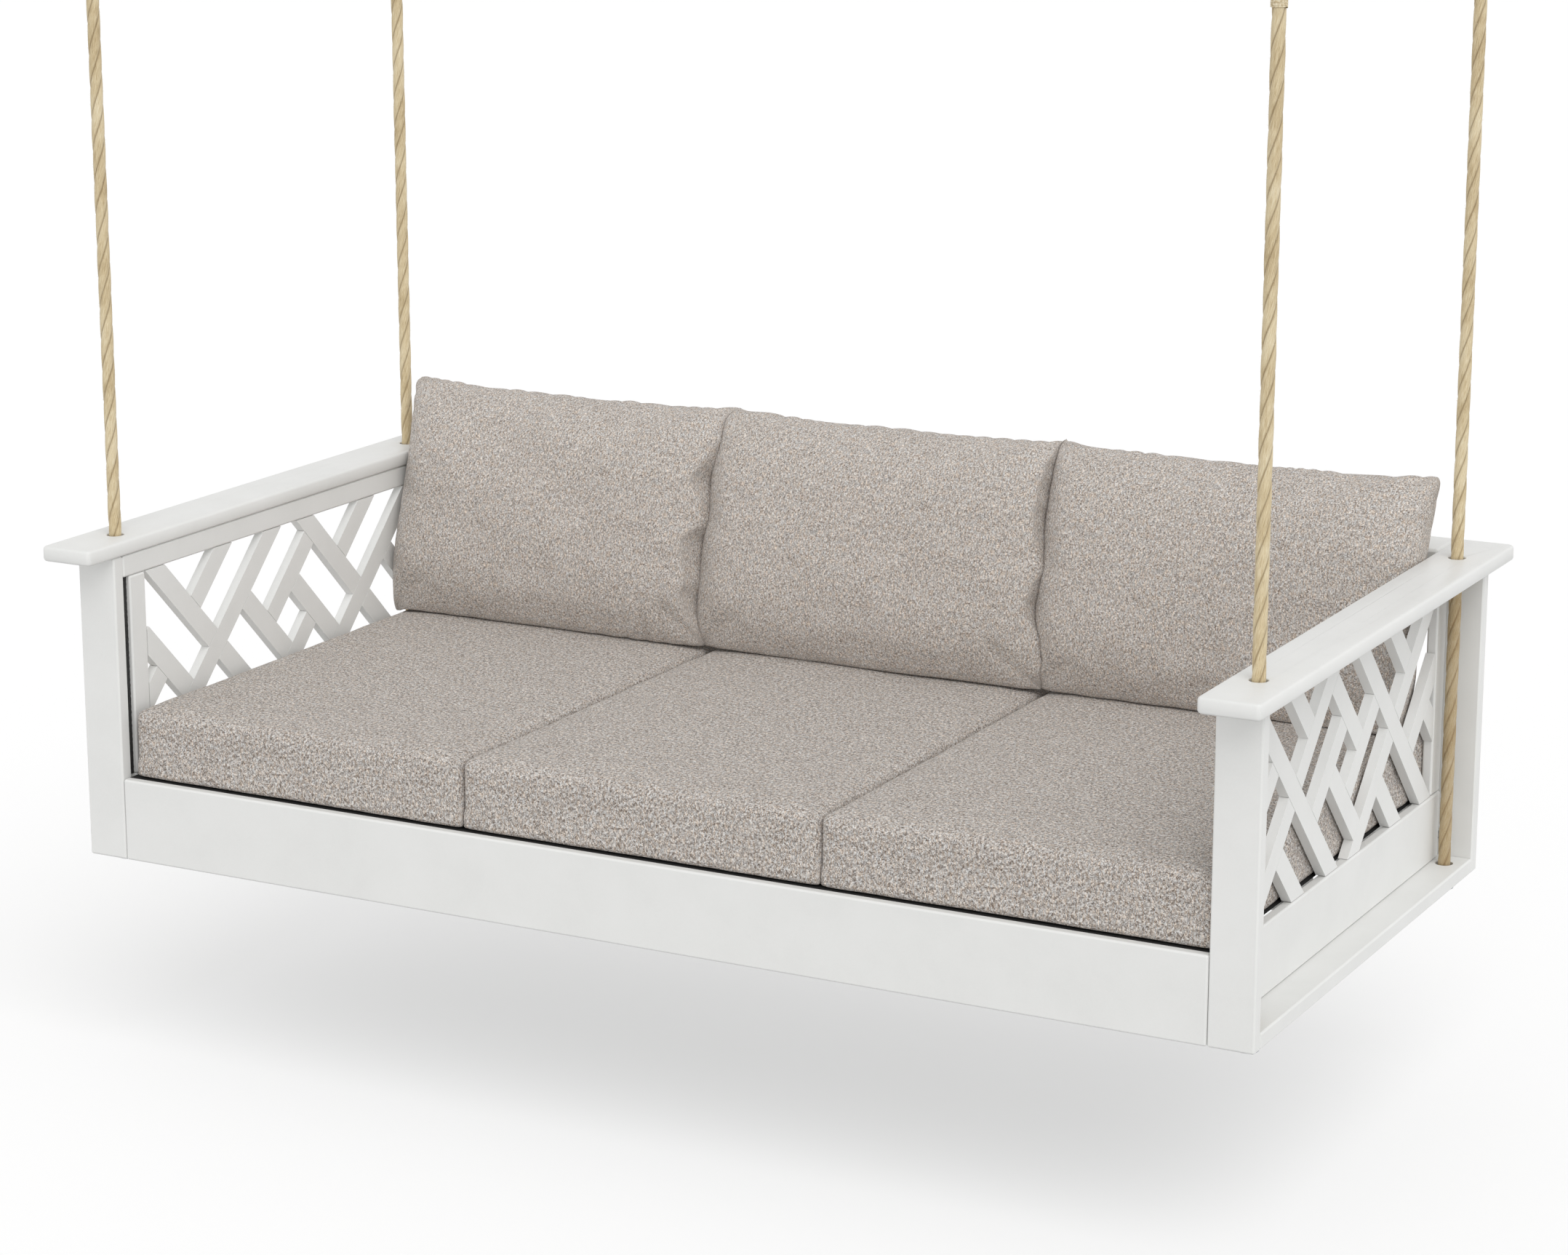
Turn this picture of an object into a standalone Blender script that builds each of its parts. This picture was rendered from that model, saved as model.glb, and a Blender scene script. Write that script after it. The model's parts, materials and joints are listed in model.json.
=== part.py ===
"""Porch swing seat: a slatted daybed frame with cushions, hung from four ropes. Metres, +Z up.

The frame's own sizes are measured from the front face of its posts, the underside of its posts and its
middle plane. The object's origin is the middle of the four ceiling plates, level with their top faces.
"""

import math

import bmesh
import bpy
from mathutils import Matrix, Vector

# Where the origin is, measured from the frame's front face and underside.
FRONT_TO_ORIGIN = 0.501
UNDERSIDE_TO_ORIGIN = 1.600
ORIGIN = Vector((0.0, FRONT_TO_ORIGIN, UNDERSIDE_TO_ORIGIN))

GAP = 0.0003  # between pieces that touch
EASE = 0.0025  # chamfer on a board's edges

# Frame
POST_IN, POST_OUT = 0.974, 1.048  # each side, from the middle plane
BOARD = 0.0255  # thickness of posts, arms, ledges and cap
DEPTH = 1.012  # front face of front posts to rear face of rear posts
REAR_POST_Y = DEPTH - 0.025
POST_TOP = 0.518
ARM_IN, ARM_OUT = 0.970, 1.069
ARM_FRONT, ARM_REAR = -0.069, 1.081
ARM_CORNER = 0.010
ARM_EDGE = 0.005
APRON_TOP = 0.140
RAIL_BOTTOM = 0.481
INFILL = 0.018  # thickness of aprons, rails and stiles
STILE = 0.042
STILE_GAP = 0.016  # post to stile
SIDE_FRONT = BOARD - 0.0005 + STILE_GAP
SIDE_REAR = REAR_POST_Y - STILE_GAP
BACK_STILE_OUT = 0.913

# Lattice: two sets of slats at 45 degrees, a repeat of three slats each way
PITCH = 0.1035
SLAT = 0.038
SLAT_THICK = 0.016
RISING_START = -0.125  # first slat of the set that rises, from the panel's corner
FALLING_START = 0.3154
OPEN_CORNER = (-1, 0)  # the rising stretch left out at the top corner by the first upright

# Deck under the cushions
BEAM_WIDE, BEAM_LOW, BEAM_TOP = 0.038, 0.045, 0.120
BEAM_X = (-0.600, 0.0, 0.600)
DECK_THICK, DECK_WIDE, DECK_OUT = 0.018, 0.140, 0.972
DECK_SLATS = 4

# Cushions
CUSHION_X = ((-0.9615, -0.3175), (-0.3165, 0.3275), (0.3285, 0.9725))
SEAT_CUSHION_Y = (0.021, 0.975)
SEAT_CUSHION_Z = (0.139, 0.262)
SEAT_CUSHION_ROUND = 0.026
BACK_CUSHION_RIGHT = 0.9690  # the last one ends short of the arm
BACK_FOOT = Vector((0.0, 0.8155, 0.2700))  # middle plane of a back cushion, bottom edge
BACK_HEAD = Vector((0.0, 0.9400, 0.6770))  # and top edge
BACK_FRONT_BULGE = 0.078
BACK_REAR_BULGE = 0.066
BACK_EDGE = 0.006  # half thickness along the seam

# Ropes and their hardware
ROPE_X = 1.015
ROPE_Y = (0.060, 0.942)
ROPE_R = 0.0107
ROPE_SIDES = 3  # curve bevel resolution
ROPE_STEP = 0.045
ARM_HOLE_R = 0.0140
LEDGE_HOLE_R = 0.0145
PIVOT_Z = 0.540
LOWER_TOP = PIVOT_Z - ROPE_R - GAP
LOWER_END = -0.010
PIN_Z = 1.565
PIN_R = 0.006
EYE_R = 0.020
EYE_DROP = EYE_R - ROPE_R - PIN_R - GAP  # the eye's centre hangs this far under the pin
UPPER_TOP = PIN_Z - EYE_DROP - EYE_R - ROPE_R - GAP
STOP_FLANGE_R, STOP_BARREL_R = 0.022, 0.017
STOP_FLANGE, STOP_TALL = 0.003, 0.016
STOP_BORE_R, STOP_BORE = ROPE_R + 0.0006, 0.0112
PLATE_X, PLATE_Y, PLATE_THICK = 0.090, 0.060, 0.005
CHEEK_IN, CHEEK_OUT = 0.016, 0.021
CHEEK_HALF = 0.019
CHEEK_UNDER_PIN = 0.018
BOLT_HEAD_R, BOLT_HEAD = 0.0065, 0.005
BOLT_X, BOLT_Z = 0.990, 0.060

# colour, roughness, metallic
POLYMER = ((0.72, 0.72, 0.70), 0.45, 0.0)
ROPE = ((0.55, 0.44, 0.27), 0.90, 0.0)
CLOTH = ((0.42, 0.38, 0.34), 0.95, 0.0)
STEEL = ((0.55, 0.55, 0.56), 0.35, 1.0)

SIDES = (("left", -1), ("right", 1))
ENDS = (("front", 0), ("rear", 1))


def clear_scene():
    for obj in list(bpy.data.objects):
        bpy.data.objects.remove(obj, do_unlink=True)


def collection(name, cutters=False):
    made = bpy.data.collections.new(name)
    bpy.context.scene.collection.children.link(made)
    made.hide_render = cutters
    return made


def dress(obj, look):
    colour, roughness, metallic = look
    mat = bpy.data.materials.new(obj.name + "_finish")
    mat.use_nodes = True
    shader = mat.node_tree.nodes["Principled BSDF"]
    shader.inputs["Base Color"].default_value = (*colour, 1.0)
    shader.inputs["Roughness"].default_value = roughness
    shader.inputs["Metallic"].default_value = metallic
    mat.diffuse_color = (*colour, 1.0)
    obj.data.materials.append(mat)


def add_mesh(name, bm, location, look, into, smooth=False):
    """Makes bm an object whose origin is at location. bm is drawn about that origin."""
    bmesh.ops.recalc_face_normals(bm, faces=bm.faces)
    mesh = bpy.data.meshes.new(name)
    bm.to_mesh(mesh)
    bm.free()
    if smooth:
        mesh.shade_smooth()
    obj = bpy.data.objects.new(name, mesh)
    obj.location = Vector(location) - ORIGIN
    into.objects.link(obj)
    if look:
        dress(obj, look)
    return obj


def box(size):
    bm = bmesh.new()
    bmesh.ops.create_cube(bm, size=1.0)
    bmesh.ops.scale(bm, vec=size, verts=bm.verts)
    return bm


def ease(obj, width, segments=1):
    bevel = obj.modifiers.new("eased_edges", "BEVEL")
    bevel.width = width
    bevel.segments = segments
    bevel.limit_method = "ANGLE"


def board(name, x, y, z, look=POLYMER, width=EASE):
    """A board from its lowest to its highest X, Y and Z, with eased edges."""
    low, high = (Vector(c) for c in zip(x, y, z))
    obj = add_mesh(name, box(high - low), (low + high) / 2, look, parts)
    ease(obj, width)
    return obj


def both(side, inner, outer):
    """The X range of something between inner and outer on one side of the middle plane."""
    return tuple(sorted((side * inner, side * outer)))


def cylinder(radius, depth, segments=24):
    bm = bmesh.new()
    bmesh.ops.create_cone(bm, cap_ends=True, segments=segments, radius1=radius, radius2=radius, depth=depth)
    return bm


def boolean(obj, other, operation="DIFFERENCE"):
    cut = obj.modifiers.new(operation.lower(), "BOOLEAN")
    cut.solver = "EXACT"
    cut.operation = operation
    cut.object = other


def cutter(name, bm, location):
    obj = add_mesh(name, bm, location, None, cutters)
    obj.display_type = "WIRE"
    obj.hide_render = True
    return obj


def rope_holes(obj, side, z, radius):
    for end, k in ENDS:
        tool = cutter(f"{obj.name}_{end}_hole", cylinder(radius, 0.060, 32), (side * ROPE_X, ROPE_Y[k], z))
        boolean(obj, tool)


def posts():
    spans = ((0.0, BOARD - 0.0005), (REAR_POST_Y, DEPTH))
    for side_name, side in SIDES:
        for end, k in ENDS:
            board(f"post_{end}_{side_name}", both(side, POST_IN, POST_OUT), spans[k], (0.0, POST_TOP))


def arms():
    size = Vector((ARM_OUT - ARM_IN, ARM_REAR - ARM_FRONT, BOARD))
    middle_y, middle_z = (ARM_FRONT + ARM_REAR) / 2, POST_TOP + GAP + BOARD / 2
    for side_name, side in SIDES:
        bm = box(size)
        upright = [e for e in bm.edges if abs(e.verts[0].co.z - e.verts[1].co.z) > BOARD / 2]
        bmesh.ops.bevel(bm, geom=upright, offset=ARM_CORNER, segments=3, profile=0.5, affect="EDGES")
        place = (side * (ARM_IN + ARM_OUT) / 2, middle_y, middle_z)
        arm = add_mesh("arm_" + side_name, bm, place, POLYMER, parts)
        ease(arm, ARM_EDGE, 2)
        arm.modifiers["eased_edges"].angle_limit = math.radians(50)
        rope_holes(arm, side, middle_z, ARM_HOLE_R)


def ledges():
    for side_name, side in SIDES:
        span = (BOARD - 0.0002, REAR_POST_Y - GAP)
        ledge = board("ledge_" + side_name, both(side, POST_IN, POST_OUT), span, (0.0, BOARD))
        rope_holes(ledge, side, BOARD / 2, LEDGE_HOLE_R)


def side_panels():
    inner = POST_IN
    outer = inner + INFILL
    rail_y = (BOARD - 0.0002, REAR_POST_Y - GAP)
    stile_y = ((SIDE_FRONT, SIDE_FRONT + STILE), (SIDE_REAR - STILE, SIDE_REAR))
    stile_z = (APRON_TOP + 0.0005, RAIL_BOTTOM - GAP)
    for side_name, side in SIDES:
        apron_x = both(side, inner + 0.002, outer + 0.002)
        board("side_apron_" + side_name, apron_x, (SIDE_FRONT, SIDE_REAR), (BOARD + GAP, APRON_TOP))
        board("side_rail_" + side_name, both(side, inner, outer), rail_y, (RAIL_BOTTOM, POST_TOP - GAP))
        for end, k in ENDS:
            board(f"side_stile_{end}_{side_name}", both(side, inner, outer), stile_y[k], stile_z)
        low = SIDE_FRONT + STILE + GAP
        high = SIDE_REAR - STILE - GAP
        bm = lattice(low, high, APRON_TOP + 0.0008, RAIL_BOTTOM - GAP, turned=side > 0)
        place = (side * (inner + INFILL / 2), 0.0, 0.0)
        add_mesh("side_lattice_" + side_name, bm, place, POLYMER, parts)


def front_and_back():
    across = (-POST_IN + 0.0008, POST_IN - 0.0008)
    board("front_apron", across, (0.0, INFILL), (0.0, APRON_TOP))
    board("rear_apron", across, (DEPTH - INFILL, DEPTH), (0.0, APRON_TOP))
    cap_x = (-ARM_IN + GAP, ARM_IN - GAP)
    board("back_cap", cap_x, (0.982, ARM_REAR), (POST_TOP + GAP, POST_TOP + GAP + BOARD), width=0.004)
    rail_y = (DEPTH - 0.024, DEPTH - 0.024 + INFILL)
    board("back_rail", across, rail_y, (RAIL_BOTTOM, POST_TOP - GAP))
    stile_z = (APRON_TOP + GAP, RAIL_BOTTOM - GAP)
    for side_name, side in SIDES:
        board("back_stile_" + side_name, both(side, BACK_STILE_OUT - STILE, BACK_STILE_OUT), rail_y, stile_z)
    half = BACK_STILE_OUT - STILE - GAP
    bm = lattice(-half, half, *stile_z, along_x=True)
    place = (0.0, sum(rail_y) / 2, 0.0)
    add_mesh("back_lattice", bm, place, POLYMER, parts)


def rising_spans(i, j):
    """Whether rising slat i runs over the stretch from falling slat j to the next one."""
    step = (j - 1) % 3
    return {1: True, 2: step >= 1, 0: step <= 1}[i % 3]


def falling_spans(j, i):
    """Whether falling slat j runs over the stretch from rising slat i to the next one."""
    step = (i - 1) % 3
    return {1: True, 2: step <= 1, 0: step >= 1}[j % 3]


def lattice_cells(low, high):
    """The filled rectangles of the endless lattice, as (rising range, falling range) pairs."""
    half = SLAT / 2
    cells = []
    for i in range(low, high):
        for j in range(low, high):
            w, u = RISING_START + i * PITCH, FALLING_START + j * PITCH
            rising = [rising_spans(i, j - 1), rising_spans(i, j)]
            falling = [falling_spans(j, i - 1), falling_spans(j, i)]
            if any(rising + falling):
                cells.append(((w - half, w + half), (u - half, u + half)))
            if rising[1] and (i, j) != OPEN_CORNER:
                cells.append(((w - half, w + half), (u + half, u + PITCH - half)))
            if falling[1]:
                cells.append(((w + half, w + PITCH - half), (u - half, u + half)))
    return cells


def lattice(low, high, bottom, top, turned=False, along_x=False):
    """One lattice panel between two uprights, centred on its own middle plane."""
    bm = bmesh.new()
    root = math.sqrt(0.5)
    corner = {}
    for (w0, w1), (u0, u1) in lattice_cells(-14, 22):
        ring = []
        for w, u in ((w0, u0), (w1, u0), (w1, u1), (w0, u1)):
            key = (round(w, 6), round(u, 6))
            if key not in corner:
                corner[key] = bm.verts.new((0.0, (u + w) * root, (u - w) * root))
            ring.append(corner[key])
        bm.faces.new(ring)
    if along_x:
        start = SIDE_FRONT + STILE
        bmesh.ops.translate(bm, vec=(0.0, low - start, 0.0), verts=bm.verts)
    if turned:
        bmesh.ops.rotate(bm, matrix=Matrix.Rotation(math.pi, 3, "Z"), verts=bm.verts)
        bmesh.ops.translate(bm, vec=(0.0, DEPTH, 0.0), verts=bm.verts)
    for point, normal in (
        ((0, low, 0), (0, -1, 0)),
        ((0, high, 0), (0, 1, 0)),
        ((0, 0, bottom), (0, 0, -1)),
        ((0, 0, top), (0, 0, 1)),
    ):
        everything = bm.verts[:] + bm.edges[:] + bm.faces[:]
        bmesh.ops.bisect_plane(bm, geom=everything, plane_co=point, plane_no=normal, clear_outer=True)
    drop_end_tips(bm, bottom, top)
    drop_loose_corners(bm)
    if along_x:
        bmesh.ops.rotate(bm, matrix=Matrix.Rotation(-math.pi / 2, 3, "Z"), verts=bm.verts)
    out = Vector((0, SLAT_THICK, 0)) if along_x else Vector((SLAT_THICK, 0, 0))
    bmesh.ops.translate(bm, vec=-out / 2, verts=bm.verts)
    grown = bmesh.ops.extrude_face_region(bm, geom=bm.faces[:], use_keep_orig=True)
    raised = [v for v in grown["geom"] if isinstance(v, bmesh.types.BMVert)]
    bmesh.ops.translate(bm, vec=out, verts=raised)
    return bm


def drop_end_tips(bm, bottom, top):
    """Takes away the small triangles at the panel's foot and head: a slat that meets another there stops on it."""
    tips = []
    for face in bm.faces:
        ends = any(min(abs(v.co.z - bottom), abs(v.co.z - top)) < 1e-5 for v in face.verts)
        if ends and len(face.verts) == 3 and face.calc_area() < 0.0007:
            tips.append(face)
    bmesh.ops.delete(bm, geom=tips, context="FACES")


def drop_loose_corners(bm):
    """Takes away the slat tips that a clipped panel leaves with nothing to hold them."""
    left = set(bm.faces)
    groups = []
    while left:
        group, edge = set(), [left.pop()]
        while edge:
            face = edge.pop()
            group.add(face)
            near = {f for e in face.edges for f in e.link_faces} & left
            left -= near
            edge.extend(near)
        groups.append(group)
    groups.sort(key=len)
    for group in groups[:-1]:
        bmesh.ops.delete(bm, geom=list(group), context="FACES")


def deck():
    beam_y = (INFILL + GAP, DEPTH - INFILL - GAP)
    for n, x in enumerate(BEAM_X, 1):
        beam_x = (x - BEAM_WIDE / 2, x + BEAM_WIDE / 2)
        board(f"cross_beam_{n}", beam_x, beam_y, (BEAM_LOW, BEAM_TOP))
    deck_z = (BEAM_TOP + GAP, BEAM_TOP + GAP + DECK_THICK)
    step = (beam_y[1] - beam_y[0] - DECK_WIDE) / (DECK_SLATS - 1)
    for n in range(DECK_SLATS):
        y = beam_y[0] + n * step
        board(f"deck_slat_{n + 1}", (-DECK_OUT, DECK_OUT), (y, y + DECK_WIDE), deck_z)


def seat_cushions():
    for n, x in enumerate(CUSHION_X, 1):
        cushion = board(f"seat_cushion_{n}", x, SEAT_CUSHION_Y, SEAT_CUSHION_Z, CLOTH, SEAT_CUSHION_ROUND)
        cushion.modifiers["eased_edges"].segments = 4
        cushion.data.shade_smooth()


def back_cushions(across=16, up=10):
    """Knife-edge pillows that lean back. The filling settles, so they are fuller at the foot."""
    rise = BACK_HEAD - BACK_FOOT
    tall = rise.length
    for n, (x0, x1) in enumerate(CUSHION_X, 1):
        x1 = min(x1, BACK_CUSHION_RIGHT)
        wide = x1 - x0
        bm = bmesh.new()
        faces_of = {}
        for face, bulge in ((1, BACK_FRONT_BULGE), (-1, BACK_REAR_BULGE)):
            for i in range(across + 1):
                for j in range(up + 1):
                    s = -math.cos(math.pi * i / across)
                    t = -math.cos(math.pi * j / up)
                    full = (1 - abs(s) ** 5) * (1 - abs(t) ** (3 if t > 0 else 6))
                    half = BACK_EDGE + (bulge - BACK_EDGE) * math.sqrt(max(0.0, full))
                    place = (s * wide / 2, -face * half, t * tall / 2)
                    faces_of[face, i, j] = bm.verts.new(place)
            for i in range(across):
                for j in range(up):
                    ring = ((i, j), (i + 1, j), (i + 1, j + 1), (i, j + 1))
                    bm.faces.new([faces_of[face, a, b] for a, b in ring])
        rim = [(i, 0) for i in range(across)] + [(across, j) for j in range(up)]
        rim += [(i, up) for i in range(across, 0, -1)] + [(0, j) for j in range(up, 0, -1)]
        for a, b in zip(rim, rim[1:] + rim[:1]):
            bm.faces.new((faces_of[1, *a], faces_of[1, *b], faces_of[-1, *b], faces_of[-1, *a]))
        middle = (BACK_FOOT + BACK_HEAD) / 2 + Vector(((x0 + x1) / 2, 0, 0))
        cushion = add_mesh(f"back_cushion_{n}", bm, middle, CLOTH, parts, smooth=True)
        cushion.rotation_euler = (-math.atan2(rise.y, rise.z), 0.0, 0.0)


def rope(name, x, y, points, axis):
    """A taut rope through (z, share of full radius) points, from the lowest up."""
    curve = bpy.data.curves.new(name, "CURVE")
    curve.dimensions = "3D"
    curve.bevel_depth = ROPE_R
    curve.bevel_resolution = ROPE_SIDES
    curve.use_fill_caps = True
    line = curve.splines.new("POLY")
    line.points.add(len(points) - 1)
    line.use_smooth = True
    base = points[0][0]
    for point, (z, share) in zip(line.points, points):
        point.co = (0.0, 0.0, z - base, 1.0)
        point.radius = share
    obj = bpy.data.objects.new(name, curve)
    obj.location = Vector((x, y, base)) - ORIGIN
    parts.objects.link(obj)
    dress(obj, ROPE)
    keep_in_place(obj, axis)


def spaced(low, high):
    """Heights from low to high, about one rope step apart."""
    count = max(1, round((high - low) / ROPE_STEP))
    return [(low + (high - low) * n / count, 1.0) for n in range(count + 1)]


def keep_in_place(obj, axis):
    """Hangs obj on the empty at its joint's axis without moving it."""
    if axis:
        obj.parent = axis
        obj.matrix_parent_inverse = Matrix.Translation(-axis.location)


def axis_empty(name, y, z):
    empty = bpy.data.objects.new(name, None)
    empty.location = Vector((0.0, y, z)) - ORIGIN
    empty.empty_display_type = "ARROWS"
    parts.objects.link(empty)
    return empty


def torus(major, minor, around=20, section=8):
    bm = bmesh.new()
    rings = []
    for n in range(around):
        turn = Matrix.Rotation(2 * math.pi * n / around, 3, "X")
        ring = []
        for m in range(section):
            angle = 2 * math.pi * m / section
            spot = Vector((minor * math.sin(angle), 0.0, major + minor * math.cos(angle)))
            ring.append(bm.verts.new(turn @ spot))
        rings.append(ring)
    for n in range(around):
        here, there = rings[n], rings[(n + 1) % around]
        for m in range(section):
            k = (m + 1) % section
            bm.faces.new((here[m], here[k], there[k], there[m]))
    return bm


def hanger(name, x, y):
    """Ceiling plate with two cheeks and the pin that the rope's eye hangs on, as one welded piece."""
    plate_z = UNDERSIDE_TO_ORIGIN - PLATE_THICK / 2
    plate = add_mesh(name, box((PLATE_X, PLATE_Y, PLATE_THICK)), (x, y, plate_z), STEEL, parts)
    ease(plate, 0.001)
    cheek_top = UNDERSIDE_TO_ORIGIN - PLATE_THICK / 2
    cheek_low = PIN_Z - CHEEK_UNDER_PIN
    for side_name, side in SIDES:
        cheek = box((CHEEK_OUT - CHEEK_IN, 2 * CHEEK_HALF, cheek_top - cheek_low))
        place = (x + side * (CHEEK_IN + CHEEK_OUT) / 2, y, (cheek_top + cheek_low) / 2)
        boolean(plate, cutter(f"{name}_{side_name}_cheek", cheek, place), "UNION")
    pin = cylinder(PIN_R, 2 * CHEEK_OUT + 0.008, 20)
    bmesh.ops.rotate(pin, matrix=Matrix.Rotation(math.pi / 2, 3, "Y"), verts=pin.verts)
    boolean(plate, cutter(name + "_pin", pin, (x, y, PIN_Z)), "UNION")


def rope_stop(name, x, y):
    """Flanged ferrule under the ledge, with a blind bore for the rope's end."""
    top = -GAP
    flange = cylinder(STOP_FLANGE_R, STOP_FLANGE)
    stop = add_mesh(name, flange, (x, y, top - STOP_FLANGE / 2), STEEL, parts)
    barrel_tall = STOP_TALL - STOP_FLANGE / 2
    barrel_z = top - STOP_TALL + barrel_tall / 2
    barrel = cutter(name + "_barrel", cylinder(STOP_BARREL_R, barrel_tall), (x, y, barrel_z))
    boolean(stop, barrel, "UNION")
    bore = cutter(name + "_bore", cylinder(STOP_BORE_R, 2 * STOP_BORE), (x, y, top))
    boolean(stop, bore)


def ropes():
    front = axis_empty("front_swing_axis", ROPE_Y[0], PIN_Z)
    rear = axis_empty("rear_swing_axis", ROPE_Y[1], PIN_Z)
    ball = [90, 70, 48, 26, 0]  # degrees around the rope's rounded lower end
    foot = [(PIVOT_Z - ROPE_R * math.sin(math.radians(a)), max(0.02, math.cos(math.radians(a)))) for a in ball]
    upper = foot[:-1] + spaced(PIVOT_Z, UPPER_TOP)
    lower = spaced(LOWER_END, LOWER_TOP)
    for side_name, side in SIDES:
        for (end, k), axis in zip(ENDS, (front, rear)):
            tag = f"{end}_{side_name}"
            x, y = side * ROPE_X, ROPE_Y[k]
            rope("upper_rope_" + tag, x, y, upper, axis)
            rope("lower_rope_" + tag, x, y, lower, None)
            spot = (x, y, PIN_Z - EYE_DROP)
            keep_in_place(add_mesh("rope_eye_" + tag, torus(EYE_R, ROPE_R), spot, ROPE, parts, True), axis)
            hanger("ceiling_hanger_" + tag, x, y)
            rope_stop("rope_stop_" + tag, x, y)


def bolts():
    """The head of the bolt that ties each side apron's rear end to its post."""
    for side_name, side in SIDES:
        head = cylinder(BOLT_HEAD_R, BOLT_HEAD, 20)
        bmesh.ops.rotate(head, matrix=Matrix.Rotation(math.pi / 2, 3, "X"), verts=head.verts)
        place = (side * BOLT_X, REAR_POST_Y - GAP - BOLT_HEAD / 2, BOLT_Z)
        ease(add_mesh("apron_bolt_" + side_name, head, place, STEEL, parts), 0.001)


clear_scene()
parts = collection("porch_swing_seat")
cutters = collection("cutters", cutters=True)
posts()
arms()
ledges()
side_panels()
front_and_back()
deck()
seat_cushions()
back_cushions()
ropes()
bolts()
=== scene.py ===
import json
import math

import bmesh
import bpy
import numpy as np
from mathutils import Matrix, Vector

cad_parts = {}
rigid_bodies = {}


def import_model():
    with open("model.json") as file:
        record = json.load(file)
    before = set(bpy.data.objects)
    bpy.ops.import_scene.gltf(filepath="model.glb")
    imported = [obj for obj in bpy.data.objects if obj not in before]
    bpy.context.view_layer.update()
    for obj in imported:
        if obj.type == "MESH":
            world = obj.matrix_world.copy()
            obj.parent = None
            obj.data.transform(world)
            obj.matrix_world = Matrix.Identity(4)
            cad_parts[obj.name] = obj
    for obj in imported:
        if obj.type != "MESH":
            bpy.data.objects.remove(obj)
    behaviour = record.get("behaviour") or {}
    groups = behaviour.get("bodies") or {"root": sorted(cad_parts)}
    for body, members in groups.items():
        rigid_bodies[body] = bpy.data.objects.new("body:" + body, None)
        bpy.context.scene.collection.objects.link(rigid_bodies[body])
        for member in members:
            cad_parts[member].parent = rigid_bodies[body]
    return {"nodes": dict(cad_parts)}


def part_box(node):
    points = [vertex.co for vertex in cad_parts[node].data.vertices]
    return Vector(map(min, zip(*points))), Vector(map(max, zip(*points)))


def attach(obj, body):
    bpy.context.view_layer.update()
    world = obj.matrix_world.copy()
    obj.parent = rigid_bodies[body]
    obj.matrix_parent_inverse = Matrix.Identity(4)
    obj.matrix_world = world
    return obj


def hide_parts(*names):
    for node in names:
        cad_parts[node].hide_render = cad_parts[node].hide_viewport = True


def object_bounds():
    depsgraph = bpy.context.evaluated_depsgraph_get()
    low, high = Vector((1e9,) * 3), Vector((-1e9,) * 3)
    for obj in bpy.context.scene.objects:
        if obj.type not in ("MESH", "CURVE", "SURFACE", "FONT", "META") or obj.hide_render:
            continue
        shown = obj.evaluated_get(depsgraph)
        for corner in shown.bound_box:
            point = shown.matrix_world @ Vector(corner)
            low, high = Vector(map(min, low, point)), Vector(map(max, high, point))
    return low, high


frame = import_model()
cad_low, cad_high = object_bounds()
nodes = frame["nodes"]
scene = bpy.context.scene
for start in [o for o in bpy.data.objects if o.name in ("Cube", "Light", "Camera")]:
    bpy.data.objects.remove(start)

SIDES = (("left", -1), ("right", 1))
ENDS = ("front", "rear")


# ---------------------------------------------------------------- materials
def new_material(name):
    mat = bpy.data.materials.new(name)
    mat.use_nodes = True
    tree = mat.node_tree
    return mat, tree, tree.nodes["Principled BSDF"]


def feed(tree, socket, value):
    """Links a socket to another one, or sets it to a plain value."""
    if isinstance(value, bpy.types.NodeSocket):
        tree.links.new(value, socket)
    else:
        socket.default_value = value


def node(tree, kind, inputs=(), **settings):
    made = tree.nodes.new(kind)
    for key, value in settings.items():
        setattr(made, key, value)
    for key, value in dict(inputs).items():
        feed(tree, made.inputs[key], value)
    return made


def math_node(tree, operation, a, b=0.0, c=0.0):
    made = node(tree, "ShaderNodeMath", operation=operation)
    for socket, value in zip(made.inputs, (a, b, c)):
        feed(tree, socket, value)
    return made.outputs[0]


def plus(tree, a, b):
    return math_node(tree, "ADD", a, b)


def times(tree, a, b):
    return math_node(tree, "MULTIPLY", a, b)


def ramp(tree, value, stops):
    made = node(tree, "ShaderNodeValToRGB", {"Fac": value})
    elements = made.color_ramp.elements
    while len(elements) < len(stops):
        elements.new(0.5)
    for element, (place, colour) in zip(elements, stops):
        element.position = place
        element.color = (*colour, 1.0)
    return made.outputs["Color"]


def noise(tree, vector, scale, detail=2.0, rough=0.5):
    inputs = {"Vector": vector, "Scale": scale, "Detail": detail, "Roughness": rough}
    return node(tree, "ShaderNodeTexNoise", inputs).outputs["Fac"]


def combine(tree, x=0.0, y=0.0, z=0.0):
    return node(tree, "ShaderNodeCombineXYZ", {"X": x, "Y": y, "Z": z}).outputs[0]


def mix(tree, fac, a, b):
    made = node(tree, "ShaderNodeMix", data_type="RGBA")
    for socket, value in ((made.inputs[0], fac), (made.inputs[6], a), (made.inputs[7], b)):
        feed(tree, socket, value)
    return made.outputs[2]


def bump(tree, shader, height, strength, distance, below=None):
    inputs = {"Height": height, "Strength": strength, "Distance": distance}
    made = node(tree, "ShaderNodeBump", inputs)
    if below is not None:
        tree.links.new(below, made.inputs["Normal"])
    tree.links.new(made.outputs[0], shader.inputs["Normal"])
    return made.outputs[0]


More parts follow.
